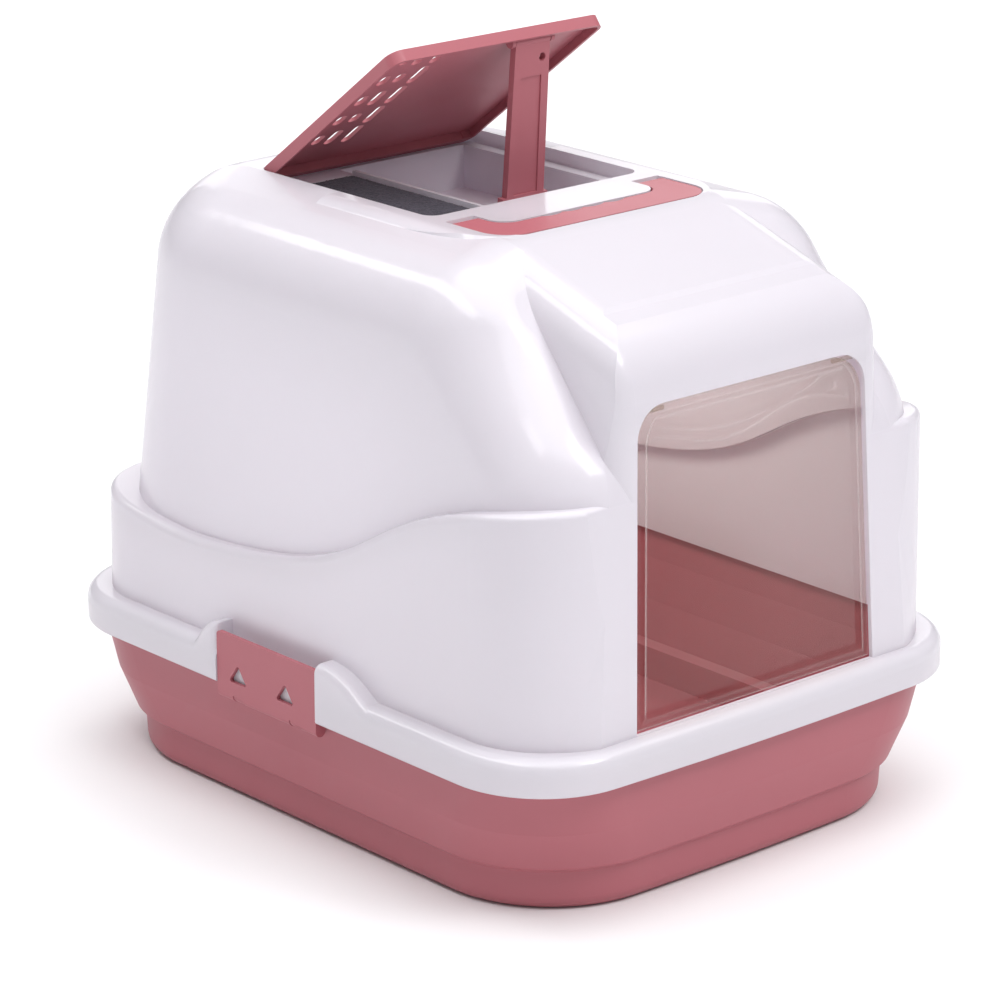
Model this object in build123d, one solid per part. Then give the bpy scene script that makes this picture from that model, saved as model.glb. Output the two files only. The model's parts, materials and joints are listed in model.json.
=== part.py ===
from build123d import *
import math
import os

# Cat litter box with a lift-off hood. Millimetres, +Z up, doorway towards -Y.
# The origin is on the floor under the centre of the tray.

# ---- Overall sizes --------------------------------------------------------
SKIRT_X = 200.0          # half width over the hood's skirt
SKIRT_Y = 250.0          # half length over the hood's skirt
SKIRT_CORNER = 70.0
SKIRT_Z = 90.0           # lower edge of the skirt
SILL_Z = 114.0           # top of the skirt and sill of the doorway
DECK_Z = 400.0           # top of the hood
WALL = 3.0               # moulded wall
FRONT_BOW = 6.0          # how far the front and back bow out
FIT = 0.5                # gap between parts that only rest together
PIN_FIT = 0.05           # radial clearance of a turning pin

# ---- Tray -----------------------------------------------------------------
FOOT_X, FOOT_Y = 175.5, 228.3
FOOT_TOP_Z = 27.0
LEDGE_Z = 31.0
RIM_Z = SILL_Z - WALL - 0.3
TRAY_FLOOR = 4.0
FOOT_CORNER = 86.0
FOOT_EDGE_R = 9.0
# half width, half length, corner radius and height of each ring of the upper wall
TRAY_RINGS = ((181.0, 233.5, 86.0, LEDGE_Z), (187.0, 239.0, 77.0, 58.0), (190.4, 242.4, 71.0, 88.0),
              (190.8, 242.8, 70.0, RIM_Z))

# ---- Hood -----------------------------------------------------------------
BAND_X, BAND_Y, BAND_CORNER = 186.0, 237.0, 62.0
DOME_X, DOME_Y, DOME_CORNER = 181.0, 237.5, 64.0
DOME_SHIFT = -6.5        # the dome sits this far towards the doorway
DOME_FRONT_CORNER = 61.0
DOME_INNER_CORNER = 63.0  # the same corner on the inside
DOME_ROUNDING = 0.08     # the dome's back corners grow rounder by this much per mm of height
BASE_Z = 60.0            # level at which the drafted sizes above are given
BAND_DRAFT = 0.012
DOME_DRAFT = 0.052
WAVE = ((-260, 266), (-224, 266), (-170, 258), (-94, 230), (-51, 206), (5, 186.5), (62, 178),
        (121, 175), (190, 182), (260, 186))   # y and z of the ledge between band and dome
ROOF_FLAT_X = 92.0       # the deck is level out to here, then falls to the shoulders
ROOF_FALL = 0.22
SHOULDER_R = 57.0
BROW_TOP = (-117.0, 396.0)      # y and z of the front slope of the side domes
BROW_LOW = (-226.0, 279.0)
BROW_R = 56.0            # rounding round the brow
LEDGE_R = 5.0
VISOR_X = 117.0          # half width of the arch that carries the doorway
VISOR_HIGH_X = 108.0     # half width of the arch at the deck
VISOR_EDGE_R = 17.0      # edges beside the doorway
VISOR_BROAD_R = 28.0     # edges along the top
VISOR_TOP = (-97.0, DECK_Z)
VISOR_FALL = 0.322
VISOR_STEP = (-184.0, -188.5, 1.1)   # shallow step across the top: start y, end y, depth
VISOR_R = 52.0
FACE_Y = -236.0          # front face at the sill
FACE_LEAN = 0.045        # the face leans back as it rises

# ---- Doorway and flap -----------------------------------------------------
DOOR_TOP_Z = 320.0
DOOR_LOW_X, DOOR_HIGH_X = 104.4, 98.0
DOOR_CORNER = 22.0
FLAP_CORNER = 26.0       # rounder than the doorway, so the flap's corners clear it as it swings
DOOR_GAP = 1.2
DOOR_AXIS_Z = 316.0
DOOR_SETBACK = 4.0       # the flap's mid plane behind the outer face
DOOR_BARREL_R = 3.0
DOOR_BARREL_LENGTH = 160.0
DOOR_PIN_R = 1.5
DOOR_BOSS_R = 3.6
DOOR_THICK = 3.0
DOOR_BORDER = 8.0

# ---- Deck, compartment and lid --------------------------------------------
WELL_X = 91.0            # opening in the deck that the lid closes
WELL_FRONT, WELL_BACK = -29.0, 146.0
WELL_SEAT_Z = 389.0
SEAT = 8.0               # width of the seat round the opening
FILTER_FLOOR_Z = 379.0   # floor of the left bay, under the filter
BAY_FLOOR_Z = 361.0      # floor of the right bay
BAY_THICK = 3.0
PAD_TOP_Z = 392.5
DIVIDER_X = -31.5
DIVIDER_THICK = 3.0
DIVIDER_TOP_Z = 394.0
FILTER_BACK = 118.0
LID_X = 90.0
LID_FRONT, LID_BACK = -27.0, 143.0
LID_THICK = 2.4
LID_DEPTH = 8.0
LID_AXIS = (140.0, 395.5)
LID_OPEN = 37.0          # angle of the propped lid
LID_PIN_R = 2.0
SLOT_WIDTH = 7.2

# ---- Stay that props the lid ----------------------------------------------
STAY_X = 29.5
STAY_WIDTH_TOP, STAY_WIDTH_LOW = 29.5, 32.5
STAY_THICK = 5.0
STAY_REACH = 160.0       # from the lid's axis to the stay's pin
STAY_DROP = 2.0          # the stay's pin below the lid's axis, lid closed
STAY_LENGTH = 111.26
STAY_LEAN = 4.1          # the foot stands this many degrees behind the pin
STAY_PIN_R = 1.6
STAY_BARREL_R = 3.2

# ---- Carry handle ---------------------------------------------------------
HANDLE_X = 91.0
HANDLE_CORNER = 20.0
HANDLE_FRONT = -98.0
HANDLE_BAR = 26.0        # front bar, front to back
HANDLE_ARM = 22.0
HANDLE_AXIS = (-50.0, 395.0)
HANDLE_THICK = 9.0
HANDLE_END_R = 4.5
HANDLE_PIN_R = 2.2
GRIP_PITCH = 18.0         # spacing of the finger hollows
GRIP_R = 15.5
GRIP_DEPTH = 2.7
RECESS_FLOOR_Z = 389.8

# ---- Side latches ---------------------------------------------------------
LATCH_Y = 10.0
LATCH_WIDTH = 101.0
LATCH_TOP_Z = 126.0
LATCH_AXIS = (195.0, 84.0)      # |x| and z of the pivot
LATCH_BARREL_R = 4.0
LATCH_THICK = 3.0
LATCH_PIN_R = 1.5
LATCH_NOTCH = 4.5        # depth of the hood's recess behind the latch
LATCH_WINDOWS = ((39.0, 94.0), (-9.2, 95.0))    # y and z of the middle of each window's base
WINDOW_WIDTH, WINDOW_HEIGHT = 19.0, 13.0
KNUCKLES = (-24.0, 34.0)        # start, along Y, of each tray knuckle
KNUCKLE_WIDTH = 10.0
SHOULDER_Z = 130.0       # top of the skirt's swellings beside the latches
SHOULDER_BACK, SHOULDER_FRONT = 34.0, 62.0   # length of the swelling behind and before a latch


def span(x0, x1, y0, y1, z0, z1):
    """Box between two corners."""
    return Pos((x0 + x1) / 2, (y0 + y1) / 2, (z0 + z1) / 2) * Box(x1 - x0, y1 - y0, z1 - z0)


def rod(axis, radius, start, end, at):
    """Cylinder along X or Y from start to end; at gives its other two coordinates."""
    middle = (start + end) / 2
    if axis == "x":
        place = Pos(middle, at[0], at[1]) * Rot(0, 90, 0)
    else:
        place = Pos(at[0], middle, at[1]) * Rot(90, 0, 0)
    return place * Cylinder(radius, end - start)


def outline(half_x, half_y, corner, front_corner=None):
    """Plan shape with straight sides, bowed front and back, and round corners."""
    bow_r = (half_x ** 2 + FRONT_BOW ** 2) / (2 * FRONT_BOW)
    front = Pos(0, bow_r - half_y) * Circle(bow_r)
    back = Pos(0, half_y - bow_r) * Circle(bow_r)
    face = Rectangle(2 * half_x, 2 * half_y) & front & back
    face = fillet(face.vertices().sort_by(Axis.Y)[:2], front_corner or corner)
    return fillet(face.vertices().sort_by(Axis.Y)[-2:], corner)


def column(plan, draft, z_low, z_high):
    """Upright body whose plan (half_x, half_y, corner) shrinks by the draft above BASE_Z."""
    rings = []
    for z in (z_low, z_high):
        shrink = draft * (z - BASE_Z)
        rings.append(Pos(0, 0, z) * outline(*[size - shrink for size in plan]))
    return loft(rings, ruled=True)


def behind_face(inset):
    """Space behind the leaning front face."""
    return side_prism(((face_y(0) + inset, 0), (face_y(DECK_Z) + inset, DECK_Z), (300, DECK_Z), (300, 0)), 220)


def side_prism(points, half_width):
    """Extrude a closed outline of (y, z) points along X to both sides."""
    wire = Polyline(*[(0, y, z) for y, z in points], close=True)
    return extrude(make_face(wire), amount=half_width, both=True, dir=(1, 0, 0))


def face_y(z):
    """Y of the hood's front face at a height."""
    return FACE_Y + FACE_LEAN * (z - SILL_Z)


def hood_band(inset):
    """Lower, wider part of the hood, up to the wave-shaped ledge."""
    body = column([size - inset for size in (BAND_X, BAND_Y, BAND_CORNER)], BAND_DRAFT, BASE_Z, 300)
    crest = Spline(*[(0, y, z - inset) for y, z in WAVE])
    ends = (crest @ 1, (0, 260, 0), (0, -260, 0), crest @ 0)
    below = extrude(make_face([crest, Polyline(*ends)]), amount=220, both=True, dir=(1, 0, 0))
    body = body & below & behind_face(inset)
    crown = body.faces().filter_by(lambda f: f.center().Z > 170 and f.normal_at().Z > 0.6)
    return fillet(crown[0].edges(), LEDGE_R - inset) if inset < LEDGE_R - 0.5 else body


def hood_dome(inset):
    """Narrower upper part with round shoulders and a sloping brow."""
    rings = []
    for z in (BASE_Z, DECK_Z - inset):
        shrink = inset + DOME_DRAFT * (z - BASE_Z)
        corner = DOME_CORNER - inset + DOME_ROUNDING * (z - BASE_Z)
        front_corner = DOME_INNER_CORNER if inset else DOME_FRONT_CORNER
        plan = outline(DOME_X - shrink, DOME_Y - shrink, corner, front_corner)
        rings.append(Pos(0, DOME_SHIFT, z) * plan)
    body = loft(rings, ruled=True)
    edge_x = DOME_X - inset - DOME_DRAFT * (DECK_Z - BASE_Z)
    eave_z = DECK_Z - inset - ROOF_FALL * (edge_x - ROOF_FLAT_X)
    low_x = DOME_X - inset + 20
    roof = Polyline((-ROOF_FLAT_X, 0, DECK_Z - inset), (ROOF_FLAT_X, 0, DECK_Z - inset),
                    (low_x, 0, DECK_Z - inset - ROOF_FALL * (low_x - ROOF_FLAT_X)), (low_x, 0, 0),
                    (-low_x, 0, 0), (-low_x, 0, DECK_Z - inset - ROOF_FALL * (low_x - ROOF_FLAT_X)),
                    close=True)
    body &= extrude(make_face(roof), amount=260, both=True, dir=(0, 1, 0))
    rounded = [e for e in body.edges() if e.center().Z > eave_z - 8
               and (abs(e.center().X) > 100 or abs(e.center().Y) > 150)]
    body = fillet(rounded, SHOULDER_R - inset)
    slope = (BROW_TOP[1] - BROW_LOW[1]) / (BROW_TOP[0] - BROW_LOW[0])
    drop = inset * math.hypot(1, slope)
    brow = side_prism(((BROW_TOP[0] - 30, BROW_TOP[1] - drop - 30 * slope),
                       (BROW_TOP[0] + 30, BROW_TOP[1] - drop + 30 * slope), (300, 460), (300, 0),
                       (-300, 0), (-300, BROW_TOP[1] - drop + slope * (-300 - BROW_TOP[0]))), 260)
    body = body & brow & behind_face(inset)
    cut = [f for f in body.faces().filter_by(GeomType.PLANE) if f.normal_at().Y < -0.3 and f.normal_at().Z > 0.3]
    return fillet(cut[0].edges(), BROW_R - inset)


def visor_top(inset, y):
    """Height of the arch's sloping top, before its step."""
    return VISOR_TOP[1] + VISOR_FALL * (y - VISOR_TOP[0]) - inset * math.hypot(1, VISOR_FALL)


def visor_profile(inset):
    """Side view of the arch: deck, sloping top, round nose and leaning face."""
    face0 = FACE_Y + inset - FACE_LEAN * SILL_Z
    top0 = visor_top(inset, 0)
    corner_y = (top0 + face0 / FACE_LEAN) / (1 / FACE_LEAN - VISOR_FALL)
    points = ((60, DECK_Z - inset), ((DECK_Z - inset - top0) / VISOR_FALL, DECK_Z - inset),
              (corner_y, (corner_y - face0) / FACE_LEAN),
              (face0 + FACE_LEAN * BASE_Z, BASE_Z), (60, BASE_Z))
    face = make_face(Polyline(*[(0, y, z) for y, z in points], close=True))
    nose = face.vertices().sort_by(Axis.Y)[:2].sort_by(Axis.Z)[-1]
    return fillet(nose, VISOR_R - inset)


def visor_step(inset):
    """Everything below the shallow step across the arch's top."""
    start, end, depth = VISOR_STEP
    return side_prism(((70, BASE_Z), (70, DECK_Z + 60), (start, DECK_Z + 60), (start, visor_top(inset, start)),
                       (end, visor_top(inset, end) - depth), (-300, visor_top(inset, -300) - depth),
                       (-300, BASE_Z)), VISOR_X + 20)


def visor_roof(inset, edge_r):
    """Roof of the arch, with broad edges, running down its slope."""
    low_z, high_z = BASE_Z, VISOR_TOP[1] - inset * math.hypot(1, VISOR_FALL)
    spread = (VISOR_X - VISOR_HIGH_X) / (DECK_Z - DOOR_TOP_Z)
    low_x = VISOR_HIGH_X - inset + spread * (high_z - low_z)
    profile = Polyline((-low_x, VISOR_TOP[0], low_z), (low_x, VISOR_TOP[0], low_z),
                       (VISOR_HIGH_X - inset, VISOR_TOP[0], high_z),
                       (-VISOR_HIGH_X + inset, VISOR_TOP[0], high_z), close=True)
    profile = make_face(profile)
    profile = fillet(profile.vertices().sort_by(Axis.Z)[-2:], edge_r)
    return extrude(profile, amount=220, both=True, dir=(0, 1, VISOR_FALL))


def hood_visor(inset):
    """Central arch that carries the doorway and runs up into the deck."""
    body = extrude(visor_profile(inset), amount=VISOR_X - inset, both=True, dir=(1, 0, 0))
    rims = [e for e in body.edges() if abs(abs(e.center().X) - VISOR_X + inset) < 0.1
            and e.center().Y < 50 and e.center().Z > BASE_Z + 1]
    body = fillet(rims, VISOR_EDGE_R - inset)
    return body & visor_roof(inset, VISOR_BROAD_R - inset) & visor_step(inset)


def hood_form(inset):
    return hood_band(inset) + hood_dome(inset) + hood_visor(inset)


def door_axis():
    """World y and z of the flap's hinge."""
    return face_y(DOOR_AXIS_Z) + DOOR_SETBACK, DOOR_AXIS_Z


def door_plane():
    """Plane of the flap, centred on its hinge axis, with +Z outwards and +Y up the face."""
    return Plane(origin=(0, *door_axis()), x_dir=(1, 0, 0), z_dir=(0, -1, FACE_LEAN))


def door_outline(gap, corner):
    """Doorway shape in the door plane, shrunk by a gap all round."""
    low = SILL_Z - DOOR_AXIS_Z + gap
    high = DOOR_TOP_Z - DOOR_AXIS_Z - gap
    low_x, high_x = DOOR_LOW_X - gap, DOOR_HIGH_X - gap
    face = make_face(Polyline((-low_x, low), (low_x, low), (high_x, high), (-high_x, high), close=True))
    top = face.vertices().sort_by(Axis.Y)[-2:]
    return fillet(top, corner)


def rounded_box(half_x, y0, y1, z0, z1, corner):
    """Box with round upright corners, centred on x = 0."""
    plan = Pos(0, (y0 + y1) / 2, z0) * RectangleRounded(2 * half_x, y1 - y0, corner)
    return extrude(plan, amount=z1 - z0)


def mirrored(body):
    return body + mirror(body, about=Plane.YZ)


# ---- Tray -----------------------------------------------------------------

def tray_form(inset, floor_z, top_z):
    low = outline(FOOT_X - inset, FOOT_Y - inset, FOOT_CORNER - inset)
    high = outline(FOOT_X + 1 - inset, FOOT_Y + 1 - inset, FOOT_CORNER - inset)
    rings = []
    for half_x, half_y, corner, z in TRAY_RINGS:
        level = top_z if z == RIM_Z else z
        rings.append(Pos(0, 0, level) * outline(half_x - inset, half_y - inset, corner - inset))
    foot = loft([Pos(0, 0, floor_z) * low, Pos(0, 0, FOOT_TOP_Z) * high], ruled=True)
    foot += loft([Pos(0, 0, FOOT_TOP_Z) * high, rings[0]], ruled=True)
    return foot + loft(rings, ruled=True)


def litter_tray():
    body = tray_form(0, 0, RIM_Z)
    bottom = body.faces().sort_by(Axis.Z)[0]
    body = fillet(bottom.edges(), FOOT_EDGE_R)
    body -= tray_form(WALL, TRAY_FLOOR, RIM_Z + 1)
    axis_x, axis_z = LATCH_AXIS
    for start in KNUCKLES:
        end = start + KNUCKLE_WIDTH
        for side in (-1, 1):
            at = (side * axis_x, axis_z)
            knuckle = rod("y", LATCH_BARREL_R - 0.4, start, end, at)
            web = span(min(side * 188.5, side * axis_x), max(side * 188.5, side * axis_x), start, end,
                       axis_z - LATCH_BARREL_R + 0.4, axis_z)
            body += knuckle + web
            body -= rod("y", LATCH_PIN_R, start - 1, end + 1, at)
    return body


# ---- Hood -----------------------------------------------------------------

def hood_skirt():
    block = extrude(Pos(0, 0, SKIRT_Z) * outline(SKIRT_X, SKIRT_Y, SKIRT_CORNER), amount=SILL_Z - SKIRT_Z)
    top = block.edges().filter_by(lambda e: abs(e.center().Z - SILL_Z) < 0.01)
    block = fillet(top, 9.0)
    low = block.edges().filter_by(lambda e: abs(e.center().Z - SKIRT_Z) < 0.01)
    block = fillet(low, 2.0)
    hollow = outline(SKIRT_X - WALL, SKIRT_Y - WALL, SKIRT_CORNER - WALL)
    hollow = extrude(Pos(0, 0, SKIRT_Z - 1) * hollow, amount=SILL_Z - WALL - SKIRT_Z + 1)
    return block - fillet(hollow.faces().sort_by(Axis.Z)[-1].edges(), 6.0)


def latch_shoulders():
    """Swellings of the skirt that run up to both ends of each latch."""
    half = LATCH_WIDTH / 2 + FIT
    swellings = []
    for side, run in ((1, SHOULDER_BACK), (-1, SHOULDER_FRONT)):
        near = LATCH_Y + side * half
        far = near + side * run
        crest = Spline((0, near, SHOULDER_Z), (0, near + side * 0.45 * run, SHOULDER_Z - 6.0), (0, far, SILL_Z - 7),
                       tangents=((0, side, 0), (0, side, -0.25)))
        ends = Polyline((0, far, SILL_Z - 7), (0, far, SKIRT_Z + 4), (0, near, SKIRT_Z + 4), (0, near, SHOULDER_Z))
        swelling = Pos(-(SKIRT_X + BAND_X - 2) / 2, 0, 0) * extrude(
            make_face([crest, ends]), amount=(SKIRT_X - BAND_X + 2) / 2, both=True, dir=(1, 0, 0))
        top_out = [e for e in swelling.edges() if abs(e.center().X + SKIRT_X) < 0.1
                   and e.center().Z > SILL_Z - 4 and e.length > run * 0.8]
        swellings.append(fillet(top_out, 6.0))
    return mirrored(swellings[0] + swellings[1])


def latch_notches():
    """Material removed from the skirt so that each latch lies flush."""
    half = LATCH_WIDTH / 2 + FIT
    face = span(-SKIRT_X - 5, -SKIRT_X + LATCH_NOTCH, LATCH_Y - half, LATCH_Y + half, SKIRT_Z - 5, 140)
    lower = span(-SKIRT_X - 5, -SKIRT_X + 12, LATCH_Y - half, LATCH_Y + half, SKIRT_Z - 5, SKIRT_Z + 2)
    return mirrored(face + lower)


def latch_backs():
    """Wall of the skirt behind each latch."""
    half = LATCH_WIDTH / 2 + 3
    wall_x = -SKIRT_X + LATCH_NOTCH
    return mirrored(span(wall_x, wall_x + 2.5, LATCH_Y - half, LATCH_Y + half, SKIRT_Z + 2, SILL_Z - 1))


def deck_pan(outer):
    """Thick frame under the deck that carries the compartment, the lid and the handle."""
    well = span(-WELL_X - WALL, WELL_X + WALL, WELL_FRONT - 4, WELL_BACK + WALL, WELL_SEAT_Z - WALL, DECK_Z)
    recess = span(-HANDLE_X - 4, HANDLE_X + 4, HANDLE_FRONT - 4, WELL_FRONT, RECESS_FLOOR_Z - WALL, DECK_Z)
    hollow = span(-58, 58, -67, WELL_FRONT - 6, RECESS_FLOOR_Z - WALL - 1, DECK_Z - WALL)
    return (well + recess - hollow) & outer


def deck_cuts():
    well = rounded_box(WELL_X, WELL_FRONT, WELL_BACK, WELL_SEAT_Z, DECK_Z + 1, 10.0)
    throat = rounded_box(WELL_X - SEAT, WELL_FRONT + SEAT, WELL_BACK - SEAT, WELL_SEAT_Z - 5, DECK_Z, 5.0)
    return well + throat + handle_shape(FIT + 0.5, RECESS_FLOOR_Z, DECK_Z + 2)


def door_bosses():
    return mirrored(rod("x", DOOR_BOSS_R, 93.0, 101.0, door_axis()))


def hood_shell():
    outer = hood_form(0) + hood_skirt() + latch_shoulders()
    outer -= span(-300, 300, -300, 300, 0, SKIRT_Z)
    cavity = hood_form(WALL) - span(-300, 300, -300, 300, 0, SKIRT_Z - 5)
    hollow = outline(SKIRT_X - WALL, SKIRT_Y - WALL, SKIRT_CORNER - WALL)
    cavity += extrude(Pos(0, 0, SKIRT_Z - 5) * hollow, amount=SILL_Z - WALL - SKIRT_Z + 5)
    body = outer - cavity - latch_notches() + latch_backs()
    body = body + deck_pan(hood_form(0)) - deck_cuts()
    opening = extrude(door_plane() * door_outline(0, DOOR_CORNER), amount=30, both=True)
    body -= opening
    body += door_bosses()
    bores = rod("x", DOOR_PIN_R + PIN_FIT, 86, 99.5, door_axis())
    bores += rod("x", LID_PIN_R + PIN_FIT, LID_X - 4, WELL_X + WALL + 1, LID_AXIS)
    bores += rod("x", HANDLE_PIN_R + PIN_FIT, 59, 70, HANDLE_AXIS)
    return body - mirrored(bores)


# ---- Compartment under the lid --------------------------------------------

def compartment_tray():
    flange = rounded_box(WELL_X - 0.7, WELL_FRONT + 0.7, WELL_BACK - 0.7, WELL_SEAT_Z + 0.3, WELL_SEAT_Z + 1.8, 9.3)
    half = WELL_X - SEAT - 1
    front, back = WELL_FRONT + SEAT + 1, WELL_BACK - SEAT - 1
    divider_left, divider_right = DIVIDER_X - DIVIDER_THICK / 2, DIVIDER_X + DIVIDER_THICK / 2
    rim_z = WELL_SEAT_Z + 1.8
    left = span(-half, divider_right, front, back, FILTER_FLOOR_Z - BAY_THICK, rim_z)
    right = span(divider_left, half, front, back, BAY_FLOOR_Z - BAY_THICK, rim_z)
    body = left + right
    body = fillet(body.edges().filter_by(Axis.Z).filter_by(lambda e: abs(e.center().X) > half - 1), 4.0)
    body -= span(-half + 2, divider_left, front + 2, FILTER_BACK, FILTER_FLOOR_Z, DECK_Z)
    body -= span(divider_right, half - 2, front + 2, back - 2, BAY_FLOOR_Z, DECK_Z)
    body += flange - span(-half + 1, half - 1, front + 1, back - 1, WELL_SEAT_Z, DECK_Z)
    body += span(divider_left, divider_right, front, FILTER_BACK, FILTER_FLOOR_Z - BAY_THICK, DIVIDER_TOP_Z)
    toe_front = stay_foot()[0] - STAY_THICK / 2
    body += span(STAY_X - 17, STAY_X + 17, front + 1, toe_front + 0.8, BAY_FLOOR_Z - 1, stay_foot()[1] - 1.4)
    pin_y, pin_z = LID_AXIS[0] - STAY_REACH, LID_AXIS[1] - STAY_DROP
    body -= span(STAY_X - 20, STAY_X + 20, pin_y - 4.5, pin_y + 4.5, pin_z - 4.0, DECK_Z)
    pitch = 12.0
    for row in range(11):
        y = front + 10 + pitch * row
        body -= span(-half + 8, divider_left - 6, y, y + 6, FILTER_FLOOR_Z - BAY_THICK - 1, FILTER_FLOOR_Z + 1)
    return body


def filter_pad():
    half = WELL_X - SEAT - 1
    front = WELL_FRONT + SEAT + 1
    pad = span(-half + 2.5, DIVIDER_X - DIVIDER_THICK / 2 - 0.5, front + 2.5, FILTER_BACK - 0.5, FILTER_FLOOR_Z,
               PAD_TOP_Z)
    return fillet(pad.edges().filter_by(Axis.Z), 3.0)


# ---- Lid, built closed and then turned open -------------------------------

def opened(body):
    """Turn a body built on the closed lid to the propped position."""
    y, z = LID_AXIS
    return Pos(0, y, z) * Rot(-LID_OPEN, 0, 0) * Pos(0, -y, -z) * body


def lid_point(reach, drop):
    """World y and z, lid propped, of a point given in front of and below the lid's axis."""
    angle = math.radians(LID_OPEN)
    y = LID_AXIS[0] - reach * math.cos(angle) - drop * math.sin(angle)
    z = LID_AXIS[1] + reach * math.sin(angle) - drop * math.cos(angle)
    return y, z


def stay_pin_place():
    return lid_point(STAY_REACH, STAY_DROP)


def stay_foot():
    """World y and z of the stay's foot."""
    y, z = stay_pin_place()
    lean = math.radians(STAY_LEAN)
    return y + STAY_LENGTH * math.sin(lean), z - STAY_LENGTH * math.cos(lean)


def lid_slots():
    """Three columns of air slots over the filter."""
    slots = None
    for row in range(5):
        for column_x, lengths in ((-69.5, (13, 13)), (-56.5, (20, 12)), (-40.5, (24, 24))):
            length = lengths[row % 2]
            y = -13.0 + 28.0 * row
            slot = Pos(column_x, y, DECK_Z - 5) * Rot(0, 0, 90) * SlotOverall(length, SLOT_WIDTH)
            slot = extrude(slot, amount=6)
            slots = slot if slots is None else slots + slot
    return slots


def top_lid():
    low_z = DECK_Z - LID_DEPTH
    outer = rounded_box(LID_X, LID_FRONT, LID_BACK, low_z, DECK_Z, 9.0)
    inside = rounded_box(LID_X - LID_THICK, LID_FRONT + LID_THICK, LID_BACK - LID_THICK, low_z - 1,
                         DECK_Z - LID_THICK, 6.6)
    body = outer - inside
    axis_y, axis_z = LID_AXIS
    ears = mirrored(span(LID_X - 10, LID_X, axis_y - 4, LID_BACK, low_z, DECK_Z - 1))
    body += ears & outer
    back_edge = rod("x", 4.5, -LID_X + 9, LID_X - 9, (LID_BACK - 4.5, DECK_Z - 4.5))
    body += back_edge & span(-LID_X, LID_X, LID_BACK - 6, LID_BACK, low_z, DECK_Z)
    pin_y, pin_z = axis_y - STAY_REACH, axis_z - STAY_DROP
    for side in (-1, 1):
        ear_x = STAY_X + side * (STAY_WIDTH_TOP / 2 + 2.0)
        ear = rod("x", 3.4, ear_x - 1.5, ear_x + 1.5, (pin_y, pin_z))
        ear += span(ear_x - 1.5, ear_x + 1.5, pin_y - 3.4, pin_y + 3.4, pin_z, DECK_Z - 1)
        body += ear
    body -= lid_slots()
    pin = rod("x", STAY_PIN_R, STAY_X - 30, STAY_X + 30, (pin_y, pin_z))
    body -= pin
    body -= mirrored(rod("x", LID_PIN_R, LID_X - 10.5, LID_X + 1, LID_AXIS))
    return opened(body)


def lid_pin(side):
    x0, x1 = sorted((side * (LID_X - 9.5), side * (WELL_X + WALL - 0.3)))
    return rod("x", LID_PIN_R, x0, x1, LID_AXIS)


def stay_plane():
    """Plane of the stay: origin on its pin, +Y up the stay, +Z towards the front."""
    y, z = stay_pin_place()
    lean = math.radians(STAY_LEAN)
    return Plane(origin=(STAY_X, y, z), x_dir=(1, 0, 0), z_dir=(0, -math.cos(lean), -math.sin(lean)))


def lid_stay():
    top, low, length = STAY_WIDTH_TOP / 2, STAY_WIDTH_LOW / 2, STAY_LENGTH
    face = make_face(Polyline((-low, -length), (low, -length), (top, 0), (-top, 0), close=True))
    body = extrude(face, amount=STAY_THICK / 2, both=True)
    channel = make_face(Polyline((-low + 6, -length + 8), (low - 6, -length + 8), (top - 6, -24), (-top + 6, -24),
                                 close=True))
    body -= extrude(Pos(0, 0, STAY_THICK / 2 - 1.0) * channel, amount=2)
    body -= Pos(top - 6.0, -12) * Cylinder(2.8, 20)
    body += Pos(0, -length + 3.5) * Box(STAY_WIDTH_LOW + 7, 7, STAY_THICK)
    barrel = Rot(0, 90, 0) * Cylinder(STAY_BARREL_R, STAY_WIDTH_TOP)
    body = body + barrel - Rot(0, 90, 0) * Cylinder(STAY_PIN_R + PIN_FIT, 60)
    return stay_plane() * body


def stay_pin():
    y, z = stay_pin_place()
    half = STAY_WIDTH_TOP / 2 + 3.5
    return rod("x", STAY_PIN_R, STAY_X - half, STAY_X + half, (y, z))


# ---- Carry handle ---------------------------------------------------------

def handle_shape(gap, z_low, z_high):
    """U shape in plan, grown by a gap."""
    half, front = HANDLE_X + gap, HANDLE_FRONT - gap
    back = HANDLE_AXIS[0] + HANDLE_END_R + (gap + 0.6 if gap else 0)
    outer = extrude(Pos(0, (front + back) / 2, z_low) * Rectangle(2 * half, back - front), amount=z_high - z_low)
    outer = fillet(outer.edges().filter_by(Axis.Z).group_by(Axis.Y)[0], HANDLE_CORNER + gap)
    inner_x, inner_front = HANDLE_X - HANDLE_ARM - gap, HANDLE_FRONT + HANDLE_BAR + gap
    inner = span(-inner_x, inner_x, inner_front, back + 1, z_low - 1, z_high + 1)
    inner = fillet(inner.edges().filter_by(Axis.Z).group_by(Axis.Y)[0], 14.0)
    return outer - inner


def carry_handle():
    axis_y, axis_z = HANDLE_AXIS
    low, high = axis_z - HANDLE_THICK / 2, axis_z + HANDLE_THICK / 2
    body = handle_shape(0, low, high)
    tails = [e for e in body.edges() if abs(e.center().Y - axis_y - HANDLE_END_R) < 0.1
             and min(abs(e.center().Z - low), abs(e.center().Z - high)) < 0.1]
    body = fillet(tails, HANDLE_END_R - 0.05)
    for step in range(4):
        grip_x = GRIP_PITCH * (step - 1.5)
        grip_y = HANDLE_FRONT + HANDLE_BAR + GRIP_R - GRIP_DEPTH
        scallop = Pos(grip_x, grip_y, axis_z) * Cylinder(GRIP_R, 20)
        body -= scallop
    return body - mirrored(rod("x", HANDLE_PIN_R, 60, 85, HANDLE_AXIS))


def handle_pin(side):
    x0, x1 = sorted((side * 60.0, side * 84.5))
    return rod("x", HANDLE_PIN_R, x0, x1, HANDLE_AXIS)


# ---- Door flap ------------------------------------------------------------

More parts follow.
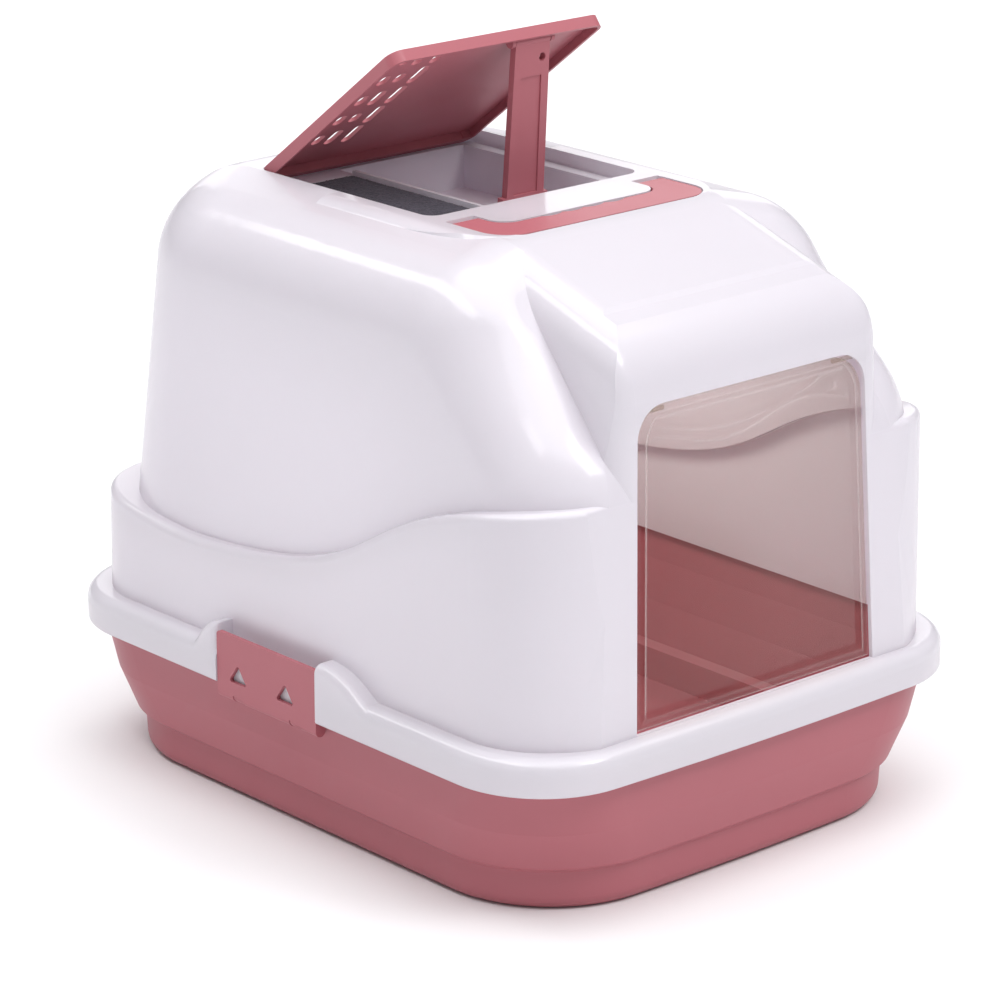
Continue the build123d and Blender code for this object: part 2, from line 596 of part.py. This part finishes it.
def door_flap():
    plate = extrude(door_outline(DOOR_GAP, FLAP_CORNER), amount=DOOR_THICK / 2, both=True)
    panel = extrude(door_outline(DOOR_GAP + DOOR_BORDER, FLAP_CORNER - DOOR_BORDER), amount=2)
    panel -= Box(300, 2 * DOOR_BARREL_R + 6, 10)
    plate -= Pos(0, 0, DOOR_THICK / 2 - 0.8) * panel
    plate -= Pos(0, 10, 0) * Box(300, 20, 10)
    barrel = Rot(0, 90, 0) * Cylinder(DOOR_BARREL_R, DOOR_BARREL_LENGTH)
    body = plate + barrel
    for side in (-1, 1):
        body -= Pos(side * 82, 0, 0) * Rot(0, 90, 0) * Cylinder(DOOR_PIN_R, 18)
    return door_plane() * body


def door_pin(side):
    x0, x1 = sorted((side * 73.5, side * 99.0))
    return rod("x", DOOR_PIN_R, x0, x1, door_axis())


# ---- Side latches ---------------------------------------------------------

def latch(side):
    """Latch plate with its split barrel; side is -1 for the left and 1 for the right."""
    axis_x, axis_z = LATCH_AXIS
    y0, y1 = LATCH_Y - LATCH_WIDTH / 2, LATCH_Y + LATCH_WIDTH / 2
    outer_x = axis_x + LATCH_BARREL_R
    plate = span(outer_x - LATCH_THICK, outer_x, y0, y1, axis_z, LATCH_TOP_Z)
    corners = plate.edges().filter_by(Axis.X).group_by(Axis.Z)[-1]
    plate = fillet(corners, 3.0)
    body = plate + rod("y", LATCH_BARREL_R, y0, y1, LATCH_AXIS)
    for start in KNUCKLES:
        body -= rod("y", LATCH_BARREL_R + 0.05, start - FIT, start + KNUCKLE_WIDTH + FIT, LATCH_AXIS)
    for y, z in LATCH_WINDOWS:
        corners = Polyline((-WINDOW_WIDTH / 2, 0), (WINDOW_WIDTH / 2, 0), (0, WINDOW_HEIGHT), close=True)
        window = fillet(make_face(corners).vertices(), 1.4)
        place = Plane(origin=(outer_x, y, z), x_dir=(0, 1, 0), z_dir=(1, 0, 0))
        body -= extrude(place * window, amount=8, both=True)
    body -= rod("y", LATCH_PIN_R + PIN_FIT, y0 + 6, y1 - 6, LATCH_AXIS)
    return body if side > 0 else mirror(body, about=Plane.YZ)


def latch_pin(side):
    half = LATCH_WIDTH / 2 - 6.5
    return rod("y", LATCH_PIN_R, LATCH_Y - half, LATCH_Y + half, (side * LATCH_AXIS[0], LATCH_AXIS[1]))


parts = {
    "litter_tray": litter_tray(),
    "hood_shell": hood_shell(),
    "compartment_tray": compartment_tray(),
    "filter_pad": filter_pad(),
    "top_lid": top_lid(),
    "lid_pin_left": lid_pin(-1),
    "lid_pin_right": lid_pin(1),
    "lid_stay": lid_stay(),
    "stay_pin": stay_pin(),
    "carry_handle": carry_handle(),
    "handle_pin_left": handle_pin(-1),
    "handle_pin_right": handle_pin(1),
    "door_flap": door_flap(),
    "door_pin_left": door_pin(-1),
    "door_pin_right": door_pin(1),
    "latch_left": latch(-1),
    "latch_right": latch(1),
    "latch_pin_left": latch_pin(-1),
    "latch_pin_right": latch_pin(1),
}

os.makedirs("parts", exist_ok=True)
for name, body in parts.items():
    export_step(body, f"parts/{name}.step")
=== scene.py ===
import json
import math
import bpy
import numpy as np
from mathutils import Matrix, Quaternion, Vector, noise


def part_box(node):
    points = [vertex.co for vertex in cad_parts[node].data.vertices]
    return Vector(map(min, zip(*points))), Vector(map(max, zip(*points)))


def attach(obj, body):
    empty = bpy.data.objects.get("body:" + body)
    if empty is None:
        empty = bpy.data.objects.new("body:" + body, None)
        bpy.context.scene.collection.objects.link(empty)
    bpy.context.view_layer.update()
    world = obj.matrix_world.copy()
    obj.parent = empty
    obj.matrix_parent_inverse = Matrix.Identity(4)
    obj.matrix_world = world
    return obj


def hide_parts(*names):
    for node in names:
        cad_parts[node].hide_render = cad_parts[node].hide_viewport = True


MM = 0.001

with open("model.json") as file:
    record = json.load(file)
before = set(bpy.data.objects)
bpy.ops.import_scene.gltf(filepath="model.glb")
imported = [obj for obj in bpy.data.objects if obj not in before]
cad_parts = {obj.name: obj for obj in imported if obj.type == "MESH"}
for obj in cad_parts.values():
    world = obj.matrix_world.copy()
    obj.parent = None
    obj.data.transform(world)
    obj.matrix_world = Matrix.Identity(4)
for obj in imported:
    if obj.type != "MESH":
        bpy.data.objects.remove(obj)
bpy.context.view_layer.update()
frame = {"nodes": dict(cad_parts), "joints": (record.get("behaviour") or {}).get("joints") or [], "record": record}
nodes = frame["nodes"]

# ---- Finishes, with colours as seen under white light ----------------------
ROSE = (178, 101, 110)
WHITE = (240, 237, 243)
SMOKE = (224, 212, 210)                           # surface of the flap
CLEAR = ((240, 237, 231), (243, 240, 235))        # what the flap lets through
FELT = (69, 66, 76)
PAPER = ((238, 238, 239), (241, 241, 242))        # floor
UNEVEN_GLOSS = 0.05                               # plastic is this much rougher or smoother

# ---- Door flap, in the plane of the flap, millimetres ----------------------
DOOR_ROWS, DOOR_COLUMNS = 176, 184
TOP_CROWDING, SIDE_CROWDING = 1.25, 0.92          # rows closer at the top, columns at the sides
DOOR_TOP, DOOR_BOTTOM = 2.8, -200.8               # above and below the hinge axis
DOOR_HIGH_X, DOOR_LOW_X = 96.8, 103.2             # half width at the top and the bottom
DOOR_CORNER = 26.0
DOOR_HALF_THICK = 1.5
DOOR_EDGE_R = 0.8
DOOR_LEAN = 0.045
BORDER = 9.0                                      # raised frame round the panel
PANEL_DEPTH, STEP_HALF = 0.8, 1.2                 # panel below the frame, half width of the step
LIP_HEIGHT, LIP_WIDTH, LIP_OUT = 0.9, 1.4, 2.4    # bead along the inside of the frame
BARREL_R, BARREL_HALF = 3.0, 80.0                 # round bar along the hinge axis

# ---- Raised lines across the top of the flap's panel -----------------------
RIDGE_WIDTH, RIDGE_HEIGHT = 1.9, 1.5
UPPER_X, UPPER_Y = -14.0, -20.6                   # upper line, a parabola: its lowest point
UPPER_REACH, UPPER_RISE = 64.0, 10.6              # it rises this much, this far to each side
UPPER_MIDDLE, UPPER_HALF, UPPER_FADE = -9.0, 76.0, 12.0    # middle, half length, fading ends
LOWER_X, LOWER_Y = -22.0, -22.0                   # lower line, a wave: a low point, mean height
LOWER_WAVE, LOWER_SWING = 135.0, 6.0
LOWER_MIDDLE, LOWER_HALF, LOWER_FADE = 0.0, 88.0, 6.0
BOSS_X, BOSS_Y = 68.0, -15.0                      # small boss where the lines end
BOSS_HALF_X, BOSS_HALF_Y = 7.0, 3.2

# ---- Filter pad, millimetres -----------------------------------------------
PAD_ROWS, PAD_COLUMNS = 190, 84
PAD_EDGE_R = 3.0
CROWN_HEIGHT, CROWN_REACH = 0.9, 12.0             # the top rises this much, this far in
FIBRE_HEIGHT, FIBRE_REACH = 0.35, 2.0
FIBRE_SCALE, FIBRE_CUT = 900, 0.5                 # noise per metre, height of the cut through it
FIBRE_FRACTAL = (0.6, 2.1, 3)                     # fall-off, step in frequency, octaves

# ---- Floor, light and camera, metres and degrees ---------------------------
FLOOR_HALF = 40.0
WORLD_COLOUR, WORLD_STRENGTH = (0.97, 0.96, 1.0, 1), 0.33
SUN_DIRECTION, SUN_POWER, SUN_SPREAD = (-0.12, 0.16, -1.0), 2.3, 70
SOFTBOXES = (                                     # name, place, aim, size, power, turn
    ("strip_box", (-0.95, 0.7, 2.25), (-0.95, 0.7, 0), (0.5, 3.4), 24, -15),
    ("front_box", (0.7, -1.9, 2.3), (0, 0, 0.30), (0.9, 0.9), 18, 0),
    ("rear_box", (2.1, 2.4, 1.3), (0, 0, 0.35), (2.6, 1.4), 15, 0),
    # Inside the hood, for part of the light that comes through its thin walls
    ("cabin_box", (0, 0.02, 0.35), (0, 0.03, 0), (0.12, 0.25), 0.74, 0),
)
CAMERA_PLACE = (-1.73204, -1.94063, 1.04398)
CAMERA_AZIMUTH, CAMERA_ELEVATION = -41.637, 18.259
SENSOR_MM, LENS_MM = 36.0, 148.62
CLIP_END = 200.0


def linear(rgb, scale=1.0):
    """Linear colour of an 8-bit one."""
    out = []
    for c in rgb:
        c = c / 255.0
        c = c / 12.92 if c <= 0.04045 else ((c + 0.055) / 1.055) ** 2.4
        out.append(min(1.0, c * scale))
    return (*out, 1.0)


def new_object(name, data):
    """Object in the scene around this mesh, lamp or camera."""
    thing = bpy.data.objects.new(name, data)
    bpy.context.scene.collection.objects.link(thing)
    return thing


# ---- Materials -------------------------------------------------------------

class Graph:
    """Node tree of a new material, with short ways to add and join nodes."""

    MIX_A, MIX_B, MIX_RESULT = 6, 7, 2            # colour sockets of the Mix node

    def __init__(self, name):
        self.material = bpy.data.materials.new(name)
        self.material.use_nodes = True
        self.tree = self.material.node_tree
        self.tree.nodes.clear()
        self.output = self.add("ShaderNodeOutputMaterial")
        self.place = self.add("ShaderNodeTexCoord").outputs["Object"]

    def add(self, kind, **values):
        """New node. A keyword names an input, with _ for a space."""
        node = self.tree.nodes.new(kind)
        for key, value in values.items():
            node.inputs[key.replace("_", " ")].default_value = value
        return node

    def join(self, start, end):
        self.tree.links.new(start, end)

    def noise(self, scale, detail=3.0, rough=0.5):
        """Noise of this many waves to the metre."""
        node = self.add("ShaderNodeTexNoise", Scale=scale, Detail=detail, Roughness=rough)
        self.join(self.place, node.inputs["Vector"])
        return node.outputs["Fac"]

    def spread(self, value, low, high, start=0.3, end=0.7):
        """Map start..end of a value onto low..high. Most of a noise lies within 0.3..0.7."""
        node = self.add("ShaderNodeMapRange",
                        From_Min=start, From_Max=end, To_Min=low, To_Max=high)
        self.join(value, node.inputs["Value"])
        return node.outputs["Result"]

    def tint(self, value, dark, light):
        """Colour between dark and light, by a value from 0 to 1."""
        node = self.tree.nodes.new("ShaderNodeMix")
        node.data_type = "RGBA"
        node.inputs[self.MIX_A].default_value = dark
        node.inputs[self.MIX_B].default_value = light
        self.join(value, node.inputs[0])
        return node.outputs[self.MIX_RESULT]

    def bump(self, height, strength, distance, under=None):
        """Normal bent by a height. Distance is in metres, under is a coarser normal."""
        node = self.add("ShaderNodeBump", Strength=strength, Distance=distance)
        self.join(height, node.inputs["Height"])
        if under is not None:
            self.join(under, node.inputs["Normal"])
        return node.outputs["Normal"]

    def blend(self, first, second, **values):
        """Mix of two shaders."""
        node = self.add("ShaderNodeMixShader", **values)
        self.join(first.outputs[0], node.inputs[1])
        self.join(second.outputs[0], node.inputs[2])
        return node

    def surface(self, shader):
        """Finish the material with this shader."""
        self.join(shader.outputs[0], self.output.inputs["Surface"])
        return self.material


def moulded_plastic(name, colour, rough, coat, glow=0.0):
    """Plastic with a satin gloss, faint flow marks and a fine grain, and a share that glows
    with the light behind it."""
    g = Graph(name)
    shader = g.add("ShaderNodeBsdfPrincipled", IOR=1.46, Coat_Weight=coat, Coat_Roughness=0.10)
    flow = g.noise(scale=5.0, detail=1.0)
    g.join(g.tint(flow, linear(colour, scale=0.965), linear(colour, scale=1.03)),
           shader.inputs["Base Color"])
    patches = g.noise(scale=30.0, detail=1.0)
    patches = g.spread(patches, rough - UNEVEN_GLOSS, rough + UNEVEN_GLOSS, start=0.0, end=1.0)
    g.join(patches, shader.inputs["Roughness"])
    grain = g.noise(scale=2600.0, detail=2.0)
    g.join(g.bump(grain, strength=0.03, distance=0.00004), shader.inputs["Normal"])
    inner = g.add("ShaderNodeBsdfTranslucent", Color=linear(colour))
    return g.surface(g.blend(shader, inner, Fac=glow))


def smoky_plastic():
    """Clear polished plastic with a smoky tint, denser where it is seen at a slant."""
    g = Graph("smoke_plastic")
    clear = g.add("ShaderNodeBsdfTransparent")
    shade = g.spread(g.noise(scale=5.0), low=0.0, high=1.0)
    dark, light = CLEAR
    g.join(g.tint(shade, linear(dark), linear(light)), clear.inputs["Color"])
    body = g.add("ShaderNodeBsdfPrincipled", IOR=1.5)
    g.join(g.tint(shade, linear(SMOKE, scale=0.95), linear(SMOKE, scale=1.05)),
           body.inputs["Base Color"])
    patches = g.noise(scale=40.0, detail=2.0)
    g.join(g.spread(patches, low=0.04, high=0.09), body.inputs["Roughness"])
    waves = g.noise(scale=18.0, detail=1.0)
    g.join(g.bump(waves, strength=0.05, distance=0.0005), body.inputs["Normal"])
    blend = g.blend(clear, body)
    slant = g.add("ShaderNodeLayerWeight", Blend=0.28).outputs["Facing"]
    g.join(g.spread(slant, low=0.0, high=0.9, start=0.15, end=1.0), blend.inputs["Fac"])
    return g.surface(blend)


def filter_felt():
    """Needled carbon felt: dark, matt and mottled, with tufts and loose fibres."""
    g = Graph("filter_felt")
    shader = g.add("ShaderNodeBsdfPrincipled", Roughness=0.97, IOR=1.25,
                   Sheen_Weight=0.12, Sheen_Roughness=0.5)
    mottle = g.noise(scale=420.0, detail=6.0, rough=0.75)
    mottle = g.spread(mottle, low=0.0, high=1.0, start=0.32, end=0.68)
    g.join(g.tint(mottle, linear(FELT, scale=0.55), linear(FELT, scale=1.45)),
           shader.inputs["Base Color"])
    tufts = g.noise(scale=260.0, detail=4.0, rough=0.7)
    tufts = g.bump(tufts, strength=0.7, distance=0.0009)
    fibres = g.noise(scale=1700.0, detail=3.0, rough=0.7)
    g.join(g.bump(fibres, strength=0.6, distance=0.0003, under=tufts), shader.inputs["Normal"])
    return g.surface(shader)


def floor_paper():
    """Plain white paper."""
    g = Graph("floor_paper")
    shader = g.add("ShaderNodeBsdfPrincipled", Roughness=0.9)
    dark, light = PAPER
    g.join(g.tint(g.noise(scale=3.0), linear(dark), linear(light)), shader.inputs["Base Color"])
    return g.surface(shader)


# ---- Meshes ----------------------------------------------------------------

def smooth(mesh):
    mesh.polygons.foreach_set("use_smooth", [True] * len(mesh.polygons))


def closed_sheet(name, front, back):
    """Closed mesh between two grids of points that share their outline's order."""
    rows, columns, _ = front.shape
    points = np.concatenate([front.reshape(-1, 3), back.reshape(-1, 3)])
    shift = rows * columns
    faces = []
    for i in range(rows - 1):
        for j in range(columns - 1):
            a = i * columns + j
            b = a + shift
            faces.append((a, a + columns, a + columns + 1, a + 1))
            faces.append((b, b + 1, b + columns + 1, b + columns))
    rim = list(range(columns))
    rim += [i * columns + columns - 1 for i in range(1, rows)]
    rim += [(rows - 1) * columns + j for j in range(columns - 2, -1, -1)]
    rim += [i * columns for i in range(rows - 2, 0, -1)]
    for a, b in zip(rim, rim[1:] + rim[:1]):
        faces.append((a, b, b + shift, a + shift))
    mesh = bpy.data.meshes.new(name)
    mesh.from_pydata(points.tolist(), [], faces)
    smooth(mesh)
    mesh.validate()
    mesh.update()
    return new_object(name, mesh)


def rounding(distance, radius):
    """How far a surface falls at this distance from its rounded edge."""
    inside = np.clip(radius - distance, 0.0, radius)
    return radius - np.sqrt(radius ** 2 - inside ** 2)


def door_half_width(down):
    """Half width of the flap, by distance below its top edge."""
    share = down / (DOOR_TOP - DOOR_BOTTOM)
    straight = DOOR_HIGH_X + (DOOR_LOW_X - DOOR_HIGH_X) * share
    return straight - rounding(down, DOOR_CORNER)


def raised_line(x, off, middle, half, fade):
    """Height of a line, by distance off it. It fades out towards both ends."""
    along = np.clip((half - np.abs(x - middle)) / fade, 0, 1)
    return along * np.exp(-(off / RIDGE_WIDTH) ** 2)


def swoosh_relief(x, y):
    """Two raised lines that sweep across the top of the panel, and a small boss at its right."""
    upper = UPPER_Y + UPPER_RISE * ((x - UPPER_X) / UPPER_REACH) ** 2
    lower = LOWER_Y - LOWER_SWING * np.cos(2 * math.pi * (x - LOWER_X) / LOWER_WAVE)
    relief = np.maximum(raised_line(x, y - upper, UPPER_MIDDLE, UPPER_HALF, UPPER_FADE),
                        raised_line(x, y - lower, LOWER_MIDDLE, LOWER_HALF, LOWER_FADE))
    boss = np.exp(-((x - BOSS_X) / BOSS_HALF_X) ** 4 - ((y - BOSS_Y) / BOSS_HALF_Y) ** 4)
    return RIDGE_HEIGHT * np.maximum(relief, boss)


def build_door(hinge):
    """Flap hung from this point, with the raised frame and lines on its front."""
    down = np.linspace(0.0, 1.0, DOOR_ROWS) ** TOP_CROWDING * (DOOR_TOP - DOOR_BOTTOM)
    turn = np.linspace(-0.5, 0.5, DOOR_COLUMNS) * math.pi * SIDE_CROWDING
    across = np.sin(turn) / math.sin(SIDE_CROWDING / 2 * math.pi)
    down, across = np.meshgrid(down, across, indexing="ij")
    half = door_half_width(down)
    x = half * across
    y = DOOR_TOP - down
    edge = np.minimum(np.minimum(half - np.abs(x), down), y - DOOR_BOTTOM)
    step = np.clip((edge - BORDER + STEP_HALF) / (2 * STEP_HALF), 0, 1)
    panel = step * step * (3 - 2 * step)          # 0 on the frame, 1 on the panel
    lip = LIP_HEIGHT * np.exp(-((edge - BORDER + LIP_OUT) / LIP_WIDTH) ** 2)
    front = DOOR_HALF_THICK - PANEL_DEPTH * panel + lip + swoosh_relief(x, y) * panel
    back = np.full_like(front, DOOR_HALF_THICK)
    barrel = np.sqrt(np.clip(BARREL_R ** 2 - y ** 2, 0, None)) * (np.abs(x) < BARREL_HALF)
    fall = rounding(edge, DOOR_EDGE_R)
    front = np.maximum(front, barrel) - fall
    back = np.maximum(back, barrel) - fall
    norm = math.hypot(1, DOOR_LEAN)
    right = np.array((1.0, 0.0, 0.0))
    out = np.array((0.0, -1.0, DOOR_LEAN)) / norm
    up = np.array((0.0, DOOR_LEAN, 1.0)) / norm
    base = np.array(hinge) + MM * (x[..., None] * right + y[..., None] * up)
    return closed_sheet(
        "door_panel", base + MM * front[..., None] * out, base - MM * back[..., None] * out)


def build_pad(low, high):
    """Felt pad with soft edges and a fibrous top, inside the box of the CAD pad."""
    x, y = np.meshgrid(np.linspace(low[0], high[0], PAD_COLUMNS),
                       np.linspace(low[1], high[1], PAD_ROWS))
    edge = np.minimum(np.minimum(x - low[0], high[0] - x), np.minimum(y - low[1], high[1] - y))
    fall = rounding(edge, PAD_EDGE_R * MM)
    fibres = np.zeros_like(x)
    for i in range(PAD_ROWS):
        for j in range(PAD_COLUMNS):
            spot = Vector((x[i, j] * FIBRE_SCALE, y[i, j] * FIBRE_SCALE, FIBRE_CUT))
            fibres[i, j] = noise.fractal(spot, *FIBRE_FRACTAL)
    fibres = np.clip(fibres, -1, 1) * FIBRE_HEIGHT * MM * np.clip(edge / (FIBRE_REACH * MM), 0, 1)
    middle = np.clip(edge / (CROWN_REACH * MM), 0, 1)
    crown = CROWN_HEIGHT * MM * (middle * (2 - middle) - 1)
    top = np.stack([x, y, high[2] - FIBRE_HEIGHT * MM + crown - fall + fibres], axis=-1)
    bottom = np.stack([x, y, low[2] + fall], axis=-1)
    return closed_sheet("felt_pad", top, bottom)


def build_floor():
    s = FLOOR_HALF
    mesh = bpy.data.meshes.new("floor")
    mesh.from_pydata([(-s, -s, 0), (s, -s, 0), (s, s, 0), (-s, s, 0)], [], [(0, 1, 2, 3)])
    mesh.materials.append(floor_paper())
    return new_object("floor", mesh)


# ---- Light and camera ------------------------------------------------------

def point(thing, direction, turn=0.0):
    """Point a lamp or camera along a direction, turned about it by some degrees."""
    thing.rotation_mode = "QUATERNION"
    track = Vector(direction).to_track_quat("-Z", "Y")
    thing.rotation_quaternion = track @ Quaternion((0, 0, 1), math.radians(turn))


def build_world():
    world = bpy.data.worlds.new("studio")
    bpy.context.scene.world = world
    world.use_nodes = True
    background = world.node_tree.nodes["Background"]
    background.inputs["Color"].default_value = WORLD_COLOUR
    background.inputs["Strength"].default_value = WORLD_STRENGTH


def build_sun():
    data = bpy.data.lights.new("overhead", "SUN")
    data.energy = SUN_POWER
    data.angle = math.radians(SUN_SPREAD)
    point(new_object("overhead", data), SUN_DIRECTION)


def build_softbox(name, place, aim, size, power, turn):
    """Rectangular lamp that the camera doesn't see."""
    data = bpy.data.lights.new(name, "AREA")
    data.shape = "RECTANGLE"
    data.size, data.size_y = size
    data.energy = power
    lamp = new_object(name, data)
    lamp.location = place
    lamp.visible_camera = False
    point(lamp, Vector(aim) - Vector(place), turn)


def build_camera():
    data = bpy.data.cameras.new("camera")
    data.sensor_width = SENSOR_MM
    data.lens = LENS_MM
    data.clip_end = CLIP_END
    camera = new_object("camera", data)
    camera.location = CAMERA_PLACE
    azimuth, elevation = math.radians(CAMERA_AZIMUTH), math.radians(CAMERA_ELEVATION)
    level = math.cos(elevation)
    point(camera, (-math.sin(azimuth) * level, math.cos(azimuth) * level, -math.sin(elevation)))
    bpy.context.scene.camera = camera


# ---- Finishes for the CAD pieces -------------------------------------------

finishes = {
    "rose_plastic": moulded_plastic("rose_plastic", ROSE, rough=0.46, coat=0.05),
    "white_plastic": moulded_plastic("white_plastic", WHITE, rough=0.34, coat=0.9, glow=0.30),
    "smoke_plastic": smoky_plastic(),
    "filter_felt": filter_felt(),
}
for row in frame["record"]["subparts"]:
    mesh = nodes[row["node"]].data
    mesh.materials.clear()
    mesh.materials.append(finishes[row["material_slot"]])
    smooth(mesh)

# ---- Pieces that replace CAD pieces ----------------------------------------

hinges = {joint["name"]: joint for joint in frame["joints"]}
door = build_door(hinges["door_swing"]["pos_m"])
door.data.materials.append(finishes["smoke_plastic"])
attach(door, "door")
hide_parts("door_flap")

pad = build_pad(*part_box("filter_pad"))
pad.data.materials.append(finishes["filter_felt"])
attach(pad, "hood")
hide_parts("filter_pad")

# ---- Studio ----------------------------------------------------------------

floor = build_floor()
build_world()
build_sun()
for box in SOFTBOXES:
    build_softbox(*box)
build_camera()
bpy.context.scene.view_settings.view_transform = "Standard"
